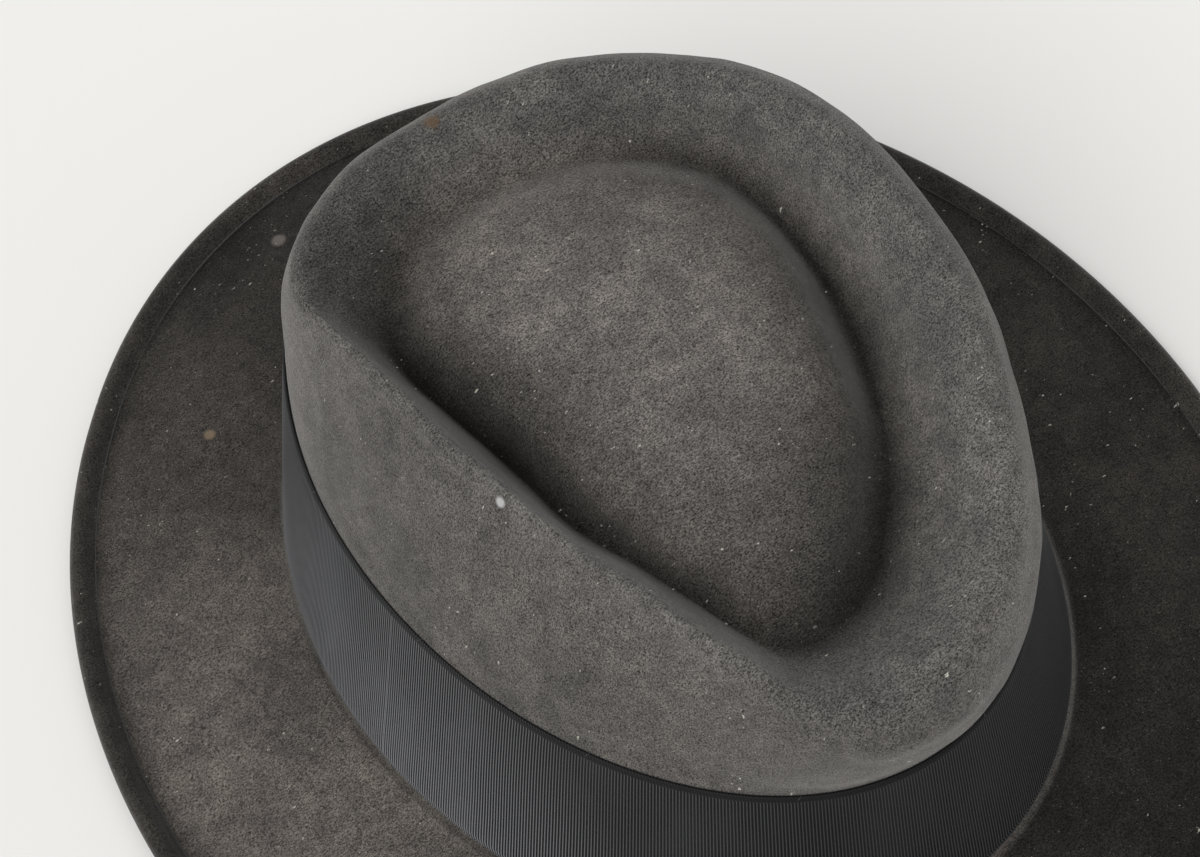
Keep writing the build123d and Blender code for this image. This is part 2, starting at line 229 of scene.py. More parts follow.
def leather_material():
    """Smooth sweatband leather, stained darker in patches."""
    s = Shader("sweatband_leather")
    pores = s.tree.nodes.new("ShaderNodeTexVoronoi")
    s.put(pores.inputs["Vector"], s.place())
    s.put(pores.inputs["Scale"], 900.0)
    grain = s.between(pores.outputs[0], 0.0, 0.75)
    creases = s.noise(300.0, 5.0, 0.65)
    stain = s.between(s.noise(28.0, 4.0, 0.6), 0.35, 0.7)
    colour = s.mix(stain, (0.190, 0.088, 0.040), (0.100, 0.046, 0.022))
    colour = s.mix(s.math("MULTIPLY", grain, 0.25), colour, (0.27, 0.14, 0.07))
    normal = s.bump(grain, 0.00012, 0.5, s.bump(creases, 0.0003, 0.4))
    rough = s.between(creases, 0.3, 0.7, 0.38, 0.58)
    return s.finish(Base_Color=colour, Roughness=rough, Normal=normal, Specular_IOR_Level=0.45)


def satin_material():
    """Satin lining: long floats that catch the light in soft streaks."""
    s = Shader("satin_lining")
    floats = s.noise(900.0, 3.0, 0.6, s.place((0.25, 3.0, 3.0)))
    broad = s.noise(40.0, 3.0, 0.5)
    age = s.between(s.noise(22.0, 4.0, 0.65), 0.45, 0.75)
    colour = s.mix(s.between(floats, 0.3, 0.7), (0.36, 0.30, 0.215), (0.52, 0.45, 0.34))
    colour = s.mix(s.math("MULTIPLY", age, 0.4), colour, (0.30, 0.235, 0.15))
    rough = s.between(broad, 0.3, 0.7, 0.30, 0.42)
    normal = s.bump(floats, 0.00012, 0.4)
    return s.finish(Base_Color=colour, Roughness=rough, Normal=normal, Sheen_Weight=0.25,
                    Sheen_Roughness=0.3, Specular_IOR_Level=0.5)


def thread_material(name, dark, light):
    """Twisted sewing thread."""
    s = Shader(name)
    twist = s.node("TexWave", s.place(), 1400.0, 3.0, 2.0, out=1, bands_direction="DIAGONAL")
    colour = s.mix(twist, dark, light)
    return s.finish(Base_Color=colour, Roughness=0.8, Normal=s.bump(twist, 0.0001, 0.6),
                    Sheen_Weight=0.2)


def tape_material():
    """Plain woven cotton tape."""
    s = Shader("reed_tape_weave")
    warp = s.node("TexWave", s.place(), 500.0, 1.0, 1.0, out=1, bands_direction="Z")
    weft = s.noise(1300.0, 3.0, 0.6)
    colour = s.mix(s.math("MULTIPLY", warp, weft), (0.022, 0.022, 0.024), (0.085, 0.085, 0.09))
    return s.finish(Base_Color=colour, Roughness=0.9, Normal=s.bump(warp, 0.0001, 0.5),
                    Sheen_Weight=0.2)


def reed_material():
    """Extruded reed, scuffed and a little yellowed."""
    s = Shader("reed_rod")
    scuff = s.noise(400.0, 4.0, 0.7)
    colour = s.mix(s.between(scuff, 0.35, 0.7), (0.34, 0.29, 0.20), (0.56, 0.50, 0.38))
    return s.finish(Base_Color=colour, Roughness=s.between(scuff, 0.3, 0.7, 0.4, 0.65),
                    Normal=s.bump(scuff, 0.0001, 0.4))


def film_material():
    """Clear film over the lining, with faint ripples and scuffs."""
    s = Shader("clear_film")
    scuff = s.noise(60.0, 5.0, 0.7)
    haze = s.between(scuff, 0.55, 0.8, 0.06, 0.28)
    colour = s.mix(s.between(scuff, 0.4, 0.7), (0.97, 0.96, 0.92), (0.90, 0.88, 0.80))
    return s.finish(Base_Color=colour, Roughness=haze, Transmission_Weight=0.96, IOR=1.46,
                    Normal=s.bump(s.noise(18.0, 2.0, 0.5), 0.001, 0.25))


def paper_material():
    """Uncoated paper with a little foxing."""
    s = Shader("tag_paper")
    pulp = s.noise(900.0, 4.0, 0.7)
    spots = s.between(s.noise(160.0, 3.0, 0.6), 0.6, 0.72)
    colour = s.mix(s.between(pulp, 0.3, 0.7), (0.66, 0.61, 0.50), (0.76, 0.72, 0.62))
    colour = s.mix(s.math("MULTIPLY", spots, 0.5), colour, (0.45, 0.33, 0.19))
    return s.finish(Base_Color=colour, Roughness=0.9, Normal=s.bump(pulp, 0.0001, 0.5))


def stage_material():
    """Plain white paper, a little uneven."""
    s = Shader("studio_paper")
    colour = s.mix(s.noise(3.0, 3.0, 0.5), (0.735, 0.735, 0.728), (0.765, 0.765, 0.758))
    return s.finish(Base_Color=colour, Roughness=0.9)


RIB_PITCH, WEFT_PITCH = 0.72, 0.32
RIBBON_LOOK = ribbon_material()
LEATHER_LOOK = leather_material()
SATIN_LOOK = satin_material()

# ---- outlines of the crown, each a ring of (x, y, z) points in whole millimetres ----
MIDDLE = np.array([-2.0, -2.0])      # every ring goes round this point
COLUMNS = 480                        # points of the felt in each ring

# The crown's highest line, the bottom of the dent's groove and the edge of the bump inside it
CREST = [(59, 10, 107), (51, 40, 106), (20, 66, 104), (-5, 71, 103), (-26, 70, 102),
         (-48, 54, 98), (-48, 40, 97), (-46, 2, 96), (-42, -30, 95), (-38, -46, 94),
         (-31, -70, 88), (-27, -78, 84), (-20, -86, 86), (-8, -89, 88), (19, -80, 90),
         (42, -54, 95), (52, -35, 99), (58, -12, 104)]
GROOVE = [(46, 12, 83), (44, 28, 86), (18, 53, 89), (-2, 57, 90), (-31, 50, 88), (-38, 39, 85),
          (-38, 20, 82), (-35, -16, 80), (-28, -44, 79), (-20, -65, 78), (-1, -66, 78),
          (13, -57, 78), (26, -43, 78), (44, -4, 81)]
BUMP = [(38, 6, 88), (28, 36, 91), (12, 45, 92), (-8, 48, 92), (-30, 37, 89), (-31, 20, 88),
        (-30, 0, 87), (-25, -34, 86), (-14, -56, 84), (17, -40, 85), (35, -6, 88)]
BUMP_TOP = (-2, -2, 92)
# (x, y, half the width of the rim's rounded top): narrow along the right ridge, wide elsewhere
RIM_SOFTNESS = [(57, 10, 9), (18, 66, 8), (-26, 69, 6), (-46, 56, 4), (-47, 30, 3), (-46, 0, 3),
                (-34, -60, 4), (-27, -77, 5), (-8, -89, 8), (19, -80, 9), (55, -20, 9)]


def hermite(knots, values, at, period=None):
    """A smooth curve through values at knots, read elsewhere; closed if it has a period."""
    knots, values = np.asarray(knots, float), np.asarray(values, float)
    if period:
        knots = np.concatenate([knots[-2:] - period, knots, knots[:3] + period])
        values = np.concatenate([values[-2:], values, values[:3]])
    step = np.diff(knots)
    slope = np.diff(values, axis=0) / step.reshape(-1, *[1] * (values.ndim - 1))
    before, after = slope[:-1], slope[1:]
    weight = (step[1:] / (step[:-1] + step[1:])).reshape(-1, *[1] * (values.ndim - 1))
    middle = before * weight + after * (1 - weight)
    tangent = np.concatenate([slope[:1], middle, slope[-1:]])
    index = np.clip(np.searchsorted(knots, at, side="right") - 1, 0, len(step) - 1)
    shape = (-1, *[1] * (values.ndim - 1))
    share = ((at - knots[index]) / step[index]).reshape(shape)
    width = step[index].reshape(shape)
    low, high = values[index], values[index + 1]
    return (low * (1 + 2 * share) * (1 - share) ** 2
            + tangent[index] * width * share * (1 - share) ** 2
            + high * share ** 2 * (3 - 2 * share)
            + tangent[index + 1] * width * share ** 2 * (share - 1))


def ring(points, angles):
    """The closed curve through points, read at angles round the middle."""
    points = np.asarray(points, float)
    offset = points[:, :2] - MIDDLE
    turn = np.arctan2(offset[:, 1], offset[:, 0])
    order = np.argsort(turn)
    data = np.stack([np.hypot(offset[:, 0], offset[:, 1]), points[:, 2]], axis=1)[order]
    read = hermite(turn[order], data, angles, 2 * math.pi)
    return np.stack([MIDDLE[0] + read[:, 0] * np.cos(angles),
                     MIDDLE[1] + read[:, 0] * np.sin(angles), read[:, 1]], axis=1)


def oval(half_width, half_length, middle_y, z, angles):
    """An oval ring, read at angles round the middle."""
    dense = np.linspace(-math.pi, math.pi, 721)[:-1]
    x, y = half_width * np.cos(dense), middle_y + half_length * np.sin(dense)
    return ring(np.stack([x, y, np.full(len(x), z)], axis=1), angles)


def wall_oval(z):
    """Half width, half length and middle of the wall's oval at a height, up to the band's top."""
    share = (z - BASE_Z) / (BAND_Z - BASE_Z)
    return [low + (high - low) * share for low, high in zip(CROWN_BASE, CROWN_BAND)]


def wider_brim(points):
    """The brim stands a little further out on the wearer's right than on the left."""
    beyond = np.abs(points[..., :1]) - CROWN_BASE[0]
    outer = np.clip(beyond / (BRIM_HALF[0] - CROWN_BASE[0]), 0, 1)
    points = points.copy()
    points[..., :1] -= BRIM_FLARE * outer * (points[..., :1] < 0)
    return points


def outward(points):
    """Unit directions away from the middle, in plan."""
    flat = points[:, :2] - MIDDLE
    return np.concatenate([flat / np.linalg.norm(flat, axis=1, keepdims=True),
                           np.zeros((len(points), 1))], axis=1)


def lowered(points, out, down):
    """Points moved outwards and down."""
    out, down = np.broadcast_to(out, len(points)), np.broadcast_to(down, len(points))
    return points + outward(points) * out[:, None] - np.array([0, 0, 1]) * down[:, None]


# ---- the felt between its outlines ----
LIP_IN, LIP_RANGE, LIP_DROP = 0.62, (0.12, 0.36), 0.6    # the rim's inner lip, by softness
SLOPE_HANG = 1.02                    # the dent's slope hangs a little under a straight line
OUTER_LIP = (0.52, 0.26)             # the rim's outer lip: outwards and down, by softness
SHOULDER_OUT = (0.86, 0.6)           # how far the shoulder lies outside the crest, by softness
SHOULDER_DOWN = (0.95, 1.0)          # and how far below it
WALL_SHARES, WALL_SWELL = (0.35, 0.7), (1.6, 1.3)    # rings of the wall above the band
LOW_WALL = (BAND_Z, 37.0, 21.0, 9.0)                 # heights of the rings behind the band
FOOT_OUT, FOOT_UP = 1.6, 0.5         # the turn from wall to brim
BRIM_SHARES = (0.06, 0.3, 0.6, 0.9)  # rings of the brim, as shares of its width
CREASE_IN, CREASE_UP = 0.5, 0.1
BUMP_SWELL = 1.2                     # the bump is rounder than a straight line to its top
FOOT_RING = 15                       # number of the foot's ring in felt_rings
STEPS = [14, 12, 10, 10, 10, 8, 8, 8, 10, 8, 8, 6, 5, 5, 4, 3, 8, 10, 10, 4]   # between rings


def shoulder_of(crest, soft, down):
    """The ring where the rim's rounded top has turned into the wall."""
    return lowered(crest, soft * SHOULDER_OUT[0] + SHOULDER_OUT[1], down)


def felt_rings(angles):
    """Rings of the felt's top side, from the middle of the dent to the crease of the brim."""
    crest = ring(CREST, angles)
    groove = ring(GROOVE, angles)
    bump = ring(BUMP, angles)
    soft = ring(RIM_SOFTNESS, angles)[:, 2]
    top = np.broadcast_to(np.array(BUMP_TOP, float), crest.shape)
    width = np.linalg.norm((crest - groove)[:, :2], axis=1)
    lip = np.clip(soft * LIP_IN / width, *LIP_RANGE)[:, None]
    inner_lip = crest + (groove - crest) * lip * (1, 1, LIP_DROP)
    slope = (lip + 1) / 2
    inner_slope = crest + (groove - crest) * slope * (1, 1, SLOPE_HANG)
    outer_lip = lowered(crest, soft * OUTER_LIP[0], soft * OUTER_LIP[1])
    shoulder = shoulder_of(crest, soft, soft * SHOULDER_DOWN[0] + SHOULDER_DOWN[1])
    band = oval(*wall_oval(BAND_Z), BAND_Z, angles)
    wall = [shoulder + (band - shoulder) * share for share in WALL_SHARES]
    wall = [lowered(points, swell, 0) for points, swell in zip(wall, WALL_SWELL)]
    low_wall = [oval(*wall_oval(z), z, angles) for z in LOW_WALL]
    half_width, half_length, middle_y = wall_oval(BASE_Z)
    foot = oval(half_width + FOOT_OUT, half_length + FOOT_OUT, middle_y, BASE_Z + FOOT_UP, angles)
    brim = []
    for share in BRIM_SHARES:
        half = [low + FOOT_OUT + (high - WELT - low - FOOT_OUT) * share
                for low, high in zip((half_width, half_length), BRIM_HALF)]
        height = BASE_Z + (CREASE_Z - BASE_Z) * share
        brim.append(oval(*half, middle_y * (1 - share), height, angles))
    crease_half = [high - WELT - CREASE_IN for high in BRIM_HALF]
    crease = oval(*crease_half, 0.0, CREASE_Z + CREASE_UP, angles)
    half_way = bump * 0.5 + top * 0.5 + np.array([0, 0, BUMP_SWELL])
    return [top, half_way, bump, groove, inner_slope, inner_lip, crest, outer_lip, shoulder,
            *wall, *low_wall, foot, *brim, crease]


def felt_place(turn, ring_number):
    """A place on the felt's top side: degrees round the middle, and a ring of felt_rings."""
    rings = felt_rings(np.radians([(turn + 180) % 360 - 180]))
    below = int(ring_number)
    share = ring_number - below
    return wider_brim(rings[below] * (1 - share) + rings[below + 1] * share)[0]


# Marks of wear: a pale spot outside the right ridge, a stain on the rim at the back and two
# scuffs on the brim behind it.  Each has its turn, ring, half size, colour and strength.
FELT_MARKS = [(190, 7.5, 1.4, (0.42, 0.42, 0.43), 0.9),
              (90, 6, 2.2, (0.11, 0.065, 0.03), 0.6),
              (120, 17.5, 1.8, (0.20, 0.15, 0.10), 0.7),
              (95, 18.5, 2.4, (0.17, 0.15, 0.14), 0.6)]
FELT_LOOK = felt_material()

# Lightness and warmth of the felt at each ring of felt_rings: the lightness is partly the felt's
# own tone and partly painted shade and painted light, darker in the groove, at the crown's foot and
# in the brim's crease, lighter on the bump
RING_TONES_AND_SHADE = [1.46, 1.52, 1.40, 0.96, 1.24, 1.20, 1.14, 1.06, 0.98, 0.90, 0.84, 0.80, 0.78, 0.76,
              0.70, 0.44, 0.50, 0.56, 0.58, 0.52, 0.34]
RING_WARMTH = [0.6, 0.6, 0.7, 0.8, 0.4, 0.2, 0.2, 0.3, 0.4, 0.5, 0.5, 0.5, 0.5, 0.6, 0.8, 0.9,
               0.9, 0.9, 0.9, 0.9, 0.9]
# (x, y, how much painted shade darkens the groove): strong at the sides and front, faint at the
# back
GROOVE_PAINTED_SHADE = [(45, 0, 1.25), (42, 26, 0.85), (30, 45, 0.30), (0, 57, 0.10), (-25, 54, 0.5),
          (-38, 34, 1.2), (-38, 0, 1.3), (-32, -35, 0.9), (-24, -58, 0.9), (-6, -68, 1.2),
          (24, -46, 1.2), (37, -24, 1.2)]
GROOVE_SHADE_MOST = 1.3
# How much of that painted shade each ring takes: half up the bump, its edge, the groove, the slope
GROOVE_SHADE_BY_RING = {1: 0.06, 2: 0.48, 3: 0.70, 4: 0.20}
# (x, y, painted light and shade on the dent's slope and the rim: lighter on the wearer's left,
# darker at the back on the wearer's right), and how much of it each ring takes
SLOPE_PAINTED_LIGHT = [(-26, 70, 0.52), (-41, 64, 0.45), (-5, 71, 0.76), (10, 68, 0.94), (38, 55, 0.98),
               (57, 24, 1.10), (52, -35, 1.12), (6, -87, 1.0), (-37, -46, 1.0), (-47, 0, 1.0),
               (-48, 36, 0.8)]
SLOPE_SHARE = {3: 0.6, 4: 1.0, 5: 0.8, 6: 0.6, 7: 0.4}
# (x, y, lightness of the brim): painted light and shade together with the felt's own uneven tone,
# lighter on the wearer's right and darker round the rest
BRIM_PAINTED_LIGHT = [(-110, 0, 2.1), (-102, 40, 2.0), (-67, 102, 1.0), (-21, 148, 0.46), (40, 140, 0.46),
              (100, 60, 0.52), (102, -48, 0.54), (55, -96, 0.34), (0, -140, 0.5),
              (-60, -110, 1.1), (-100, -50, 1.9)]
# The curled welt is painted darker: painted shade on the welt
WELT_SHADE_TONE, WELT_WARMTH = 0.42, 0.8


def felt_tones_and_painted_light(angles):
    """How light and how warm the felt is, by ring and by the places above; the lightness carries
    painted shade and painted light.
    """
    at, knots = np.arange(sum(STEPS) + 1), np.cumsum([0, *STEPS])

    def by_ring(numbers):
        return np.interp(at, knots, numbers)[:, None]

    def by_place(places):
        return ring(places, angles)[:, 2][None, :]

    shade = by_ring([GROOVE_SHADE_BY_RING.get(index, 0.0) for index in range(len(knots))])
    share = by_ring([SLOPE_SHARE.get(index, 0.0) for index in range(len(knots))])
    tone_and_painted_light = by_ring(RING_TONES_AND_SHADE) * np.ones(len(angles))
    # Painted shade in the groove, painted light and shade on the dent's slope, the rim and the brim
    tone_and_painted_light *= 1 - shade * np.clip(by_place(GROOVE_PAINTED_SHADE), 0, GROOVE_SHADE_MOST)
    tone_and_painted_light *= 1 + share * (by_place(SLOPE_PAINTED_LIGHT) - 1)
    tone_and_painted_light *= np.where(at[:, None] >= knots[FOOT_RING], by_place(BRIM_PAINTED_LIGHT), 1.0)
    return tone_and_painted_light, by_ring(RING_WARMTH) * np.ones(len(angles))


def filled(rings, steps):
    """More rings between the given ones, on smooth lines from ring to ring: steps in each gap."""
    rings = np.array(rings)
    gaps = np.linalg.norm(np.diff(rings, axis=0), axis=2).mean(axis=1)
    knots = np.concatenate([[0], np.cumsum(gaps)])
    at = np.concatenate([np.linspace(a, b, n, endpoint=False)
                         for a, b, n in zip(knots, knots[1:], steps)] + [knots[-1:]])
    return hermite(knots, rings, at)


def normals_of(grid):
    """Unit normals of a grid of rings that close on themselves."""
    along = np.roll(grid, -1, axis=1) - np.roll(grid, 1, axis=1)
    across = np.gradient(grid, axis=0)
    normal = np.cross(across, along)
    return normal / np.maximum(np.linalg.norm(normal, axis=2, keepdims=True), 1e-9)


def new_mesh(name, vertices, faces, material, nodes):
    """A smooth mesh piece from points in millimetres, standing for CAD nodes."""
    mesh = bpy.data.meshes.new(name)
    mesh.from_pydata((np.asarray(vertices) * MM).tolist(), [], faces)
    mesh.polygons.foreach_set("use_smooth", [True] * len(mesh.polygons))
    mesh.materials.append(material)
    piece = bpy.data.objects.new(name, mesh)
    bpy.context.scene.collection.objects.link(piece)
    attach(piece, "root")
    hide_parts(*nodes)
    return piece


def paint(piece, name, values):
    """A number at every vertex, for the material to read."""
    attribute = piece.data.attributes.new(name, "FLOAT", "POINT")
    attribute.data.foreach_set("value", np.asarray(values, np.float32).reshape(-1))


def paint_vector(piece, name, values):
    """Three numbers at every vertex, for the material to read."""
    attribute = piece.data.attributes.new(name, "FLOAT_VECTOR", "POINT")
    attribute.data.foreach_set("vector", np.asarray(values, np.float32).reshape(-1))


def grid_faces(rows, columns, start=0, wrap=True, flip=False):
    """Quads of a grid whose points are numbered row by row."""
    faces = []
    for row in range(rows - 1):
        for column in range(columns if wrap else columns - 1):
            following = (column + 1) % columns
            a, b = start + row * columns + column, start + row * columns + following
            quad = (a, b, b + columns, a + columns)
            faces.append(quad[::-1] if flip else quad)
    return faces


def rumpled(points, size, amount, seed):
    """Small uneven offsets for points, the same ones each time."""
    shift = Vector((seed * 17.3, seed * 5.1, seed * 9.7))
    return np.array([noise.noise(Vector(p) / size + shift) for p in points]) * amount


# (size, height) of the felt's uneven waves, and how calm it lies under the band
WAVES = [(38.0, 0.9), (13.0, 0.35), (5.0, 0.10)]
BAND_CALM = 0.15
# (how far in from the brim's edge, height) round the curled welt, from the crease over and under
WELT_ROLL = [(5.4, 2.7), (4.6, 4.1), (3.8, 5.2), (2.7, 5.85), (1.5, 5.75), (0.5, 4.9), (0.0, 3.7),
             (0.35, 2.5), (1.4, 1.4), (3.0, 0.7), (5.2, 0.25)]
LOWEST = 0.02                        # the felt stays this far above the floor


def make_felt():
    """Crown and brim: one closed skin with a curled welt at the brim's edge."""
    angles = np.linspace(-math.pi, math.pi, COLUMNS, endpoint=False)
    top = filled(felt_rings(angles), STEPS)
    normal = normals_of(top)
    normal[0] = (0, 0, 1)
    shape = top.shape
    flat = top.reshape(-1, 3)
    wave = sum(rumpled(flat, *size, seed) for seed, size in enumerate(WAVES, 1))
    height = flat[:, 2]
    calm = np.where((height > BASE_Z + 1) & (height < BAND_Z + 4), BAND_CALM, 1.0)
    edge = np.abs(flat[:, :2]) / np.array(BRIM_HALF)
    calm *= np.clip((1 - np.hypot(edge[:, 0], edge[:, 1])) * 8, 0, 1)
    top = top + normal * (wave * calm).reshape(shape[0], shape[1], 1)
    under = top - normal * FELT
    roll = [oval(BRIM_HALF[0] - inset, BRIM_HALF[1] - inset, 0.0, z, angles)
            for inset, z in WELT_ROLL]
    grid = wider_brim(np.concatenate([top[1:], np.array(roll), under[1:][::-1]]))
    grid[..., 2] = np.maximum(grid[..., 2], LOWEST)
    rows = len(grid)
    vertices = [top[0, 0], *grid.reshape(-1, 3), under[0, 0]]
    faces = grid_faces(rows, COLUMNS, start=1)
    last = 1 + (rows - 1) * COLUMNS
    for column in range(COLUMNS):
        following = (column + 1) % COLUMNS
        faces.append((0, 1 + following, 1 + column))
        faces.append((len(vertices) - 1, last + column, last + following))
    piece = new_mesh("felt_hat", vertices, faces, FELT_LOOK, ["felt_body"])
    # Lightness with painted shade and painted light, and warmth, at every point; the welt is
    # painted darker
    tone_and_painted_light, warmth = felt_tones_and_painted_light(angles)
    for name, top_value, roll_value in (("tone_and_painted_light", tone_and_painted_light, WELT_SHADE_TONE), ("warmth", warmth, WELT_WARMTH)):
        rolled = np.full((len(roll), COLUMNS), roll_value)
        shown = np.concatenate([top_value[1:], rolled, top_value[1:][::-1]])
        paint(piece, name, [top_value[0, 0], *shown.reshape(-1), top_value[0, 0]])


make_felt()


# ---- strips of ribbon, leather and lining that follow the crown ----
# Painted light on a strip's cloth, from the wearer's right to the left: lighter on the wearer's
# right, where the window shines
STRIP_X = (-CROWN_BASE[0], -60.0, -30.0, CROWN_BASE[0])
STRIP_PAINTED_LIGHT = (3.4, 0.95, 0.50, 0.62)


def closed_shell(front, back, wrap):
    """Vertices and faces of a strip with two sides and its edges; both are (rows, columns, 3)."""
    rows, columns = front.shape[:2]
    count = rows * columns
    faces = grid_faces(rows, columns, 0, wrap) + grid_faces(rows, columns, count, wrap, flip=True)
    for column in range(columns if wrap else columns - 1):
        following = (column + 1) % columns
        faces.append((following, column, count + column, count + following))
        low, high = (rows - 1) * columns + column, (rows - 1) * columns + following
        faces.append((low, high, count + high, count + low))
    if not wrap:
        for row in range(rows - 1):
            for side, turned in ((0, False), (columns - 1, True)):
                a, b = row * columns + side, (row + 1) * columns + side
                quad = (a, b, count + b, count + a)
                faces.append(quad[::-1] if turned else quad)
    return np.concatenate([front.reshape(-1, 3), back.reshape(-1, 3)]), faces


def oval_track(half_steps=4000):
    """Arc lengths and turns of the wall's oval half way up the band, from the wearer's left."""
    half_width, half_length, _ = wall_oval((BASE_Z + BAND_Z) / 2)
    turns = np.linspace(-2 * math.pi, 2 * math.pi, 2 * half_steps + 1)
    speed = np.hypot(half_width * np.sin(turns), half_length * np.cos(turns))
    arc = np.concatenate([[0], np.cumsum((speed[1:] + speed[:-1]) / 2 * np.diff(turns))])
    return arc - arc[half_steps], turns


ARC, TURNS = oval_track()
AROUND = float(np.interp(math.pi, TURNS, ARC) - np.interp(-math.pi, TURNS, ARC))


def on_wall(along, z, out):
    """Points on the crown's wall: along from the wearer's left, height and distance outwards."""
    along, z, out = np.broadcast_arrays(along, z, out)
    turn = np.interp(along, ARC, TURNS)
    half_width, half_length, middle_y = wall_oval(z)
    normal = np.stack([np.cos(turn) * half_length, np.sin(turn) * half_width], axis=-1)
    normal /= np.linalg.norm(normal, axis=-1, keepdims=True)
    return np.stack([half_width * np.cos(turn) + normal[..., 0] * out,
                     half_length * np.sin(turn) + normal[..., 1] * out + middle_y, z], axis=-1)


def folds(along, heights, tightness, height_scale):
    """Soft uneven folds round the crown, the same ones each time: heights by places along."""
    turns = along * 2 * math.pi / AROUND
    return np.array([[noise.noise(Vector((math.cos(turn) * tightness, math.sin(turn) * tightness,
                                          height / height_scale)))
                      for turn in turns] for height in heights])


def ribs(along, across=0.0):
    """Height of the grosgrain's ribs, from 0 to 1."""
    return 0.5 + 0.5 * np.sin(2 * math.pi * (along + across) / RIB_PITCH)


def strip_piece(name, along, across, front, back, wrap, material, nodes, shade=1.0):
    """A strip piece that carries its cloth coordinates in metres, and painted light and shade on
    its points.
    """
    vertices, faces = closed_shell(front, back, wrap)
    piece = new_mesh(name, vertices, faces, material, nodes)
    cloth = np.stack([along, across, np.zeros_like(along)], axis=-1).reshape(-1, 3) * MM
    paint_vector(piece, "cloth", np.concatenate([cloth, cloth]))
    # Painted light across the crown, times any painted shade given
    x = np.array([front, back])[..., 0]
    paint(piece, "tone_and_painted_light", shade * np.interp(x, STRIP_X, STRIP_PAINTED_LIGHT))
    return piece


BAND_FOOT, BAND_TOP = BASE_Z + 3.0, BAND_Z + 0.1
SELVEDGE = 1.5                       # width of the ribbon's firm woven edge
HATBAND_OUT, HATBAND_BACK = 0.40, 0.22   # how far its two sides stand off the crown
HATBAND_RIB, HATBAND_RIPPLE = 0.20, 0.55
HATBAND_THICK = 0.32
EDGE_LINE = (0.10, 0.25)             # depth and half width of the line inside each edge
PRESSED_IN = -0.1                    # the most that the ribbon lies closer than smooth


def make_hatband():
    """The ribbon round the crown, with raised ribs and a firm woven edge at top and bottom."""
    rib_count = round(AROUND / RIB_PITCH)
    along = np.linspace(-AROUND / 2, AROUND / 2, rib_count * 5, endpoint=False)
    edge, foot, top = SELVEDGE, BAND_FOOT, BAND_TOP
    heights = np.array([foot, foot + 0.3, foot + 1.0, *np.linspace(foot + edge, top - edge, 14),
                        top - 1.0, top - 0.45, top])
    a, z = np.meshgrid(along, heights)
    slant = np.clip(z - (top - edge), 0, edge) * 0.8 - np.clip(foot + edge - z, 0, edge) * 0.5
    raised = ribs(a, slant) * HATBAND_RIB
    shoulder = np.minimum(np.clip((z - foot) / 0.4, 0, 1), np.clip((top - z) / 0.4, 0, 1))
    depth, half = EDGE_LINE
    groove = depth * (np.exp(-((z - top + edge) / half) ** 2)
                      + np.exp(-((z - foot - edge) / half) ** 2))
    coarse = np.linspace(-AROUND / 2, AROUND / 2, 240)
    table = folds(coarse, heights, 3.4, 26.0)
    ripple = np.array([np.interp(along, coarse, row) for row in table]) * HATBAND_RIPPLE
    ripple *= np.sin(np.clip((z - foot) / (top - foot), 0, 1) * math.pi) ** 0.7
    loose = np.maximum(ripple, PRESSED_IN)
    thick = HATBAND_THICK * (0.45 + 0.55 * shoulder)
    front = on_wall(a, z, HATBAND_OUT + thick + raised - groove + loose)
    back = on_wall(a, z, HATBAND_BACK + loose * 0.8)
    # Painted shadow along the ribbon's upper edge, where it stands off the crown
    painted_edge_shadow = 1 - 0.72 * np.clip((z - top + SELVEDGE) / 0.5, 0, 1)
    piece = strip_piece("hatband", a + slant, z, front, back, True, RIBBON_LOOK,
                        ["hatband_ribbon"], painted_edge_shadow)


make_hatband()


def ribbed_strip(name, path, low, high, thickness, nodes, slope=0.0, pinch=0.0):
    """A length of ribbon whose edge follows a path of (along, outwards) points round the crown."""
    path = np.asarray(path, float)
    step = np.linalg.norm(np.diff(path, axis=0), axis=1)
    knots = np.concatenate([[0], np.cumsum(step)])
    length = knots[-1]
    reach = np.linspace(0, length, round(length / RIB_PITCH) * 4)
    line = hermite(knots, path, reach)
    tangent = np.gradient(line, axis=0)
    tangent /= np.linalg.norm(tangent, axis=1, keepdims=True)
    side = np.stack([-tangent[:, 1], tangent[:, 0]], axis=1)
    share = np.array([0, 0.015, 0.05, *np.linspace(0.12, 0.88, 9), 0.95, 0.985, 1.0])
    a, v = np.meshgrid(reach, share)
    narrow = pinch * np.exp(-((line[:, 0] - BOW_MIDDLE) / PINCH_REACH) ** 2)
    z = (low + narrow) + (high - low - 2 * narrow) * v
    bend = slope * (v - 0.5) * np.clip(reach / length, 0, 1)
    pleat = 0.5 * np.sin(v * math.pi * 5) * narrow / pinch if pinch else 0.0
    half = thickness / 2
    raised = ribs(a) * BOW_RIB
    along_front = line[:, 0] + side[:, 0] * half + bend
    out_front = line[:, 1] + side[:, 1] * (half + raised) + pleat
    along_back = line[:, 0] - side[:, 0] * half + bend
    out_back = line[:, 1] - side[:, 1] * half + pleat
    front, back = on_wall(along_front, z, out_front), on_wall(along_back, z, out_back)
    piece = strip_piece(name, a, z, back, front, False, RIBBON_LOOK, nodes)


BOW_MIDDLE = 0.0                     # where the bow lies round the crown: on the wearer's left
BOW_FOOT, BOW_TOP = BASE_Z + 3.0, BAND_Z - 1.8
BOW_RIBBON, BOW_RIB = 0.6, 0.09      # thickness of the bow's ribbon and of its ribs
PINCH, PINCH_REACH = 4.2, 9.0        # how far the knot draws the loops in, and how far from it
KNOT_HALF_WIDE, KNOT_OUT, KNOT_THICK = 8.3, 5.0, 0.8
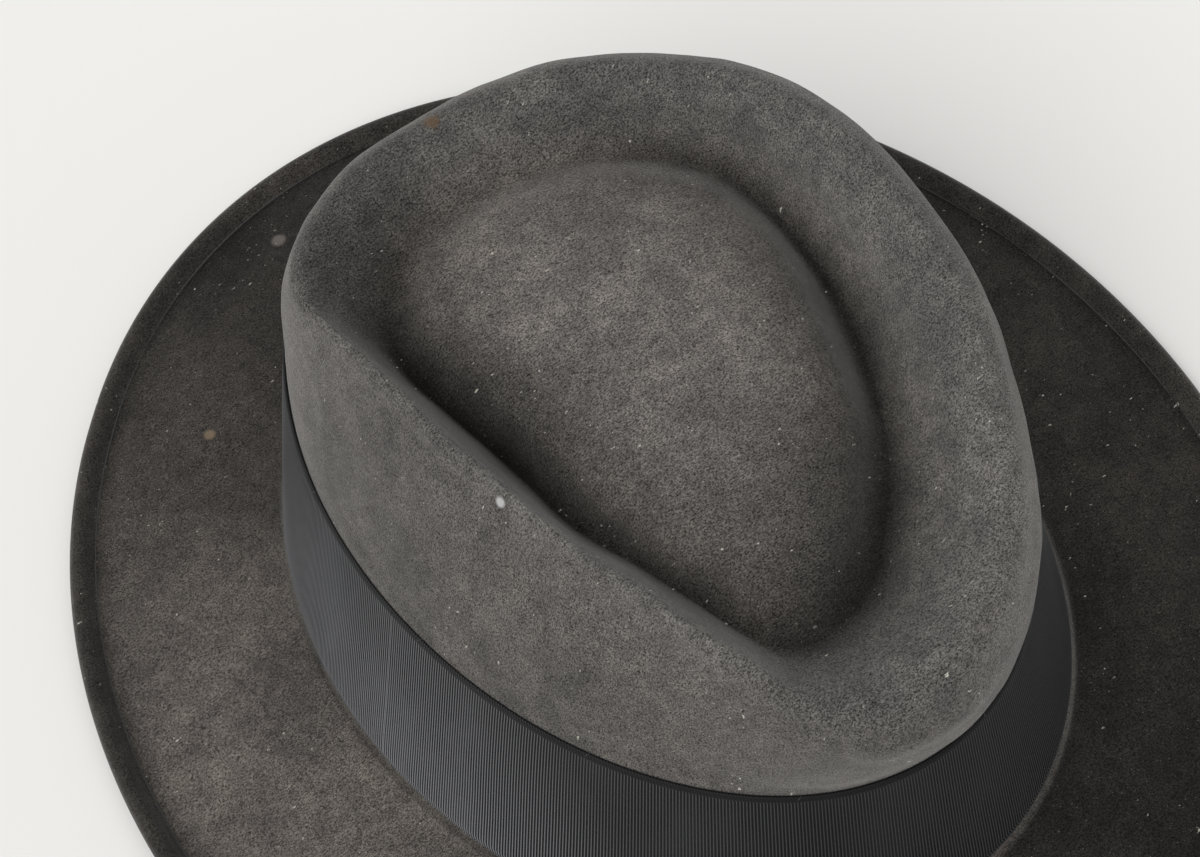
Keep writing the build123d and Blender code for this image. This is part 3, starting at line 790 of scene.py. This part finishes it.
# Paths of (along, outwards) from the bow's middle
TAIL_PATH = [(-4, 1.5), (12, 1.4), (30, 1.4), (48, 1.5), (60, 2.0)]
LOOP_PATH = [(2, 2.1), (14, 2.2), (30, 2.2), (41, 2.2), (45.3, 2.5), (46.2, 3.2), (44.8, 3.9),
             (36, 4.5), (20, 4.6), (9, 4.0), (0, 3.5)]


def make_bow():
    """The flat bow on the wearer's left: a tail, a pleated double loop and the knot over them."""
    tail = [(BOW_MIDDLE + d, out) for d, out in TAIL_PATH]
    ribbed_strip("tail_ribbon", tail, BOW_FOOT, BOW_TOP, BOW_RIBBON, ["bow_tail"],
                 slope=9.0)
    other_side = [(-d, out) for d, out in LOOP_PATH[-2::-1]]
    loop = [(BOW_MIDDLE + d, out) for d, out in [*LOOP_PATH, *other_side]]
    ribbed_strip("loop_ribbon", loop, BOW_FOOT + 0.6, BOW_TOP - 0.6, BOW_RIBBON, ["bow_loops"],
                 pinch=PINCH)
    s, c = np.meshgrid(np.linspace(-1, 1, 61), np.linspace(-1, 1, 49))
    half_tall = (BOW_TOP - BOW_FOOT) / 2 + 0.4
    tuck = np.clip((np.abs(s) - 0.90) / 0.10, 0, 1) ** 2
    pleats = 0.35 * np.cos(c * math.pi * 3.0) * (1 - 0.4 * np.abs(s))
    out = KNOT_OUT + (1 - c ** 2 + pleats) - tuck * 3.0 - 0.8 * c ** 4
    waist = KNOT_HALF_WIDE * (1 - 0.10 * (1 - s ** 2))
    z = (BOW_TOP + BOW_FOOT) / 2 + s * half_tall
    ridge = ribs(z) * 0.08
    front = on_wall(BOW_MIDDLE + c * waist, z, out + ridge)
    back = on_wall(BOW_MIDDLE + c * (waist - 0.4), z, out - KNOT_THICK)
    piece = strip_piece("knot_ribbon", z, c * waist, front, back, False, RIBBON_LOOK,
                        ["bow_knot"])


make_bow()


LEATHER_IN = FELT + 2 * GAP + 0.4    # how far the leather lies inside the crown's wall
LEATHER_LOW, LEATHER_HIGH = 3.4, 49.4
LEATHER = 0.9                        # its thickness


def make_sweatband():
    """The leather inside the opening, leaning in unevenly towards its top, thin at both edges."""
    along = np.linspace(-AROUND / 2, AROUND / 2, 720, endpoint=False)
    inset, low, high = LEATHER_IN, LEATHER_LOW, LEATHER_HIGH
    heights = np.array([low, low + 0.4, low + 1.2, *np.linspace(low + 3, high - 2, 16),
                        high - 0.7, high])
    a, z = np.meshgrid(along, heights)
    share = (z - low) / (high - low)
    sag = folds(along, heights, 2.6, 30.0)
    lean = np.maximum((0.5 + 1.1 * sag) * share ** 1.5 + 0.25 * np.abs(sag), 0.0)
    thick = LEATHER * np.minimum(1, np.minimum(z - low + 0.35, high - z + 0.35) / LEATHER)
    wall = np.maximum(z, BASE_Z)
    outer = on_wall(a, wall, -(inset + lean))
    inner = on_wall(a, wall, -(inset + lean + thick))
    outer[..., 2] = inner[..., 2] = z
    piece = strip_piece("sweatband", a, z, outer, inner, True, LEATHER_LOOK,
                        ["sweatband_leather"])


make_sweatband()


LINING_FOOT, LINING_TIP = 30.0, 64.5     # heights; the lining below is hidden by the leather
SATIN_SIDE, SATIN_TIP = 0.3, 0.35        # thickness of the side and of the tip
GATHERS = 96
TIP_DOME, TIP_GATHER, TIP_SLACK = 2.2, 0.35, (24.0, 0.7)


def make_lining():
    """Satin up the inside of the crown and across its tip, gathered where the two are sewn."""
    angles = np.linspace(-math.pi, math.pi, 720, endpoint=False)
    crest = ring(CREST, angles)
    band = oval(*wall_oval(BAND_Z), BAND_Z, angles)
    shoulder = shoulder_of(crest, ring(RIM_SOFTNESS, angles)[:, 2], 9.0)
    rise = (LINING_TIP - BAND_Z) / (shoulder[:, 2:3] - BAND_Z)
    tip_edge = band + (shoulder - band) * rise
    low = oval(*wall_oval(LINING_FOOT), LINING_FOOT, angles)
    rings = filled([low, (low + band) / 2, band, tip_edge], [6, 8, 14])
    share = np.linspace(0, 1, len(rings))[:, None]
    fold = np.sin(angles * GATHERS + 2.0 * np.sin(angles * 7))
    gather = 0.5 * fold * share ** 2 * 0.9
    inset = FELT + GAP + 0.3 + 0.6 * share + gather * 0.7
    inset = np.broadcast_to(inset, rings.shape[:2])
    outer = np.stack([lowered(points, -i, 0) for points, i in zip(rings, inset)])
    inner = np.stack([lowered(points, -SATIN_SIDE, 0) for points in outer])
    a, z = np.meshgrid(angles * 80, rings[:, 0, 2])
    piece = strip_piece("satin_side", a, z, outer, inner, True, SATIN_LOOK, ["lining_side"])
    edge = lowered(outer[-1], -0.4, 0)
    middle = edge.mean(axis=0)
    shares = np.concatenate([np.linspace(0.0, 0.9, 26)[1:], [0.93, 0.96, 0.98, 1.0]])
    cap = np.array([middle + (edge - middle) * f for f in shares])
    far = shares[:, None]
    cap[..., 2] = LINING_TIP + TIP_DOME * (1 - far ** 2) + TIP_GATHER * fold * far ** 8
    slack = rumpled(cap.reshape(-1, 3), *TIP_SLACK, 5).reshape(cap.shape[:2])
    cap[..., 2] += slack * (1 - far ** 6)
    under = cap - np.array([0, 0, SATIN_TIP])
    vertices, faces = closed_shell(cap, under, True)
    columns, count = len(angles), cap.shape[0] * cap.shape[1]
    # the first row closes on a point in the middle, so the faces of its edge are left out
    kept = [face for face in faces
            if not (max(face) - min(face) >= count and min(face) < columns)]
    top_middle, low_middle = len(vertices), len(vertices) + 1
    vertices = np.concatenate([vertices, [cap[0].mean(axis=0)], [under[0].mean(axis=0)]])
    for column in range(columns):
        following = (column + 1) % columns
        kept.append((column, following, top_middle))
        kept.append((count + following, count + column, low_middle))
    piece = new_mesh("satin_tip", vertices, kept, SATIN_LOOK, ["lining_tip"])


make_lining()


BACK_BOW_HALF = (5.0, 12.0)          # half its height and half its length
BACK_BOW_Z, BACK_BOW_IN = 18.4, 1.9      # height of its middle; how far inside the leather


def make_back_bow():
    """The small ribbon bow that covers the leather's join at the back."""
    half_tall, half_long = BACK_BOW_HALF
    inset = -(LEATHER_IN + BACK_BOW_IN)
    s, c = np.meshgrid(np.linspace(-1, 1, 121), np.linspace(-1, 1, 25))
    along, around = s * half_long, AROUND / 4 + s * half_long
    wide = half_tall * (0.45 + 0.55 * np.clip(np.abs(s) * 1.6, 0, 1) ** 1.5)
    puff = 0.9 * np.sin(np.abs(s) * math.pi) * (1 - 0.5 * c ** 2)
    z = BACK_BOW_Z + c * wide
    front = on_wall(around, z, inset - puff - 0.3)
    back = on_wall(around, z, inset + 0.1 * np.abs(s))
    piece = strip_piece("sweatband_bow_loops", along, c * wide, front, back, False, RIBBON_LOOK,
                        ["sweatband_bow"])


make_back_bow()


def tube(centre, side_way, up_way, radius, closed):
    """Vertices and faces of a thread along centre points; radius is (sides, points)."""
    turns = np.linspace(0, 2 * math.pi, len(radius), endpoint=False)
    grid = np.array([centre + side_way * (r * math.cos(t))[:, None]
                     + up_way * (r * math.sin(t))[:, None] for t, r in zip(turns, radius)])
    rows, columns = grid.shape[:2]
    faces = []
    for row in range(rows):
        above = (row + 1) % rows
        for column in range(columns if closed else columns - 1):
            following = (column + 1) % columns
            faces.append((row * columns + column, above * columns + column,
                          above * columns + following, row * columns + following))
    if not closed:
        faces.append([row * columns for row in range(rows)])
        faces.append([row * columns + columns - 1 for row in range(rows)][::-1])
    return grid.reshape(-1, 3), faces


UPWARDS = (0.0, 0.0, 1.0)
THREAD_SIDES = 8
TACKS, TACK_POINTS = 12, 9
TACK_SHIFT, TACK_RADIUS = 9.0, 0.11      # the row is moved this far along
SEAM_POINTS, SEAM_RADIUS, SEAM_OFF = 1500, 0.2, 0.15
SEAM_TWISTS = 500


def make_tacks():
    """The short stitches that hold the ribbon's upper edge to the crown."""
    vertices, faces = [], []
    share = np.linspace(0, 1, TACK_POINTS)
    for number in range(TACKS):
        start = AROUND * (number / TACKS - 0.5) + TACK_SHIFT
        centre = on_wall(start + share * 0.9, BAND_Z - 0.35 + 0.75 * share, 0.86 - 0.8 * share ** 3)
        outwards = on_wall(start, BAND_Z, 1.0) - on_wall(start, BAND_Z, 0.0)
        points, quads = tube(centre, np.broadcast_to(outwards, centre.shape),
                             np.broadcast_to(UPWARDS, centre.shape),
                             np.full((THREAD_SIDES, TACK_POINTS), TACK_RADIUS), False)
        faces += [[index + len(vertices) for index in quad] for quad in quads]
        vertices += list(points)
    new_mesh("hatband_stitches", vertices, faces, THREAD_LOOK, ["hatband_tacks"])


def make_welt_seam():
    """The dark twisted thread that lies at the bottom of the brim's crease."""
    turns = np.linspace(-math.pi, math.pi, SEAM_POINTS, endpoint=False)
    half = np.array(BRIM_HALF) - WELT - SEAM_OFF
    height = np.full(SEAM_POINTS, CREASE_Z + SEAM_OFF)
    centre = np.stack([half[0] * np.cos(turns), half[1] * np.sin(turns), height], axis=1)
    flat = np.stack([half[1] * np.cos(turns), half[0] * np.sin(turns), 0 * height], axis=1)
    flat /= np.linalg.norm(flat, axis=1, keepdims=True)
    sides = np.linspace(0, 2 * math.pi, THREAD_SIDES, endpoint=False)[:, None]
    radius = SEAM_RADIUS * (1 + 0.25 * np.sin(turns * SEAM_TWISTS + 2 * sides))
    up = np.broadcast_to(UPWARDS, centre.shape)
    vertices, faces = tube(wider_brim(centre), flat, up, radius, True)
    new_mesh("welt_seam", vertices, faces, THREAD_LOOK, ["welt_thread"])


THREAD_LOOK = thread_material("dark_thread", (0.010, 0.010, 0.011), (0.035, 0.034, 0.034))
make_tacks()
make_welt_seam()

# ---- CAD pieces whose shape is right, given their material ----
carried_over = {
    "sweatband_stitches": thread_material("tan_thread", (0.10, 0.055, 0.03), (0.26, 0.16, 0.09)),
    "sweatband_reed": reed_material(),
    "reed_tape": tape_material(),
    "tip_shield": film_material(),
    "size_tag": paper_material(),
}
for node_name, look in carried_over.items():
    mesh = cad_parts[node_name].data
    mesh.materials.clear()
    mesh.materials.append(look)


# ---- studio ----
FLOOR, FLOOR_SIDES = 12.0, 96        # half width of the floor, in metres
FLOOR_Z = -0.0003                    # just under the hat, in metres
SKY_COLOUR, SKY_STRENGTH = (1.0, 0.995, 0.985, 1.0), 0.68
SUN_COLOUR, SUN_STRENGTH, SUN_SIZE = (1.0, 0.985, 0.96), 2.1, math.radians(48.0)
SUN_HEADING = (0.66, 0.34, -0.80)


def make_stage():
    """A wide pale floor."""
    turns = np.linspace(0, 2 * math.pi, FLOOR_SIDES, endpoint=False)
    points = [(FLOOR * math.cos(turn), FLOOR * math.sin(turn), FLOOR_Z) for turn in turns]
    mesh = bpy.data.meshes.new("floor")
    mesh.from_pydata(points, [], [range(FLOOR_SIDES)])
    mesh.materials.append(stage_material())
    floor = bpy.data.objects.new("floor", mesh)
    bpy.context.scene.collection.objects.link(floor)


def make_studio():
    """Soft light all round, and a broad window high up, in front on the wearer's right."""
    make_stage()
    world = bpy.data.worlds.new("studio")
    bpy.context.scene.world = world
    world.use_nodes = True
    background = world.node_tree.nodes["Background"]
    background.inputs[0].default_value = SKY_COLOUR
    background.inputs[1].default_value = SKY_STRENGTH
    window = bpy.data.lights.new("window", "SUN")
    window.energy, window.angle, window.color = SUN_STRENGTH, SUN_SIZE, SUN_COLOUR
    light = bpy.data.objects.new("window", window)
    light.rotation_euler = Vector(SUN_HEADING).to_track_quat("-Z", "Y").to_euler()
    bpy.context.scene.collection.objects.link(light)
    bpy.context.scene.view_settings.view_transform = "Standard"


make_studio()
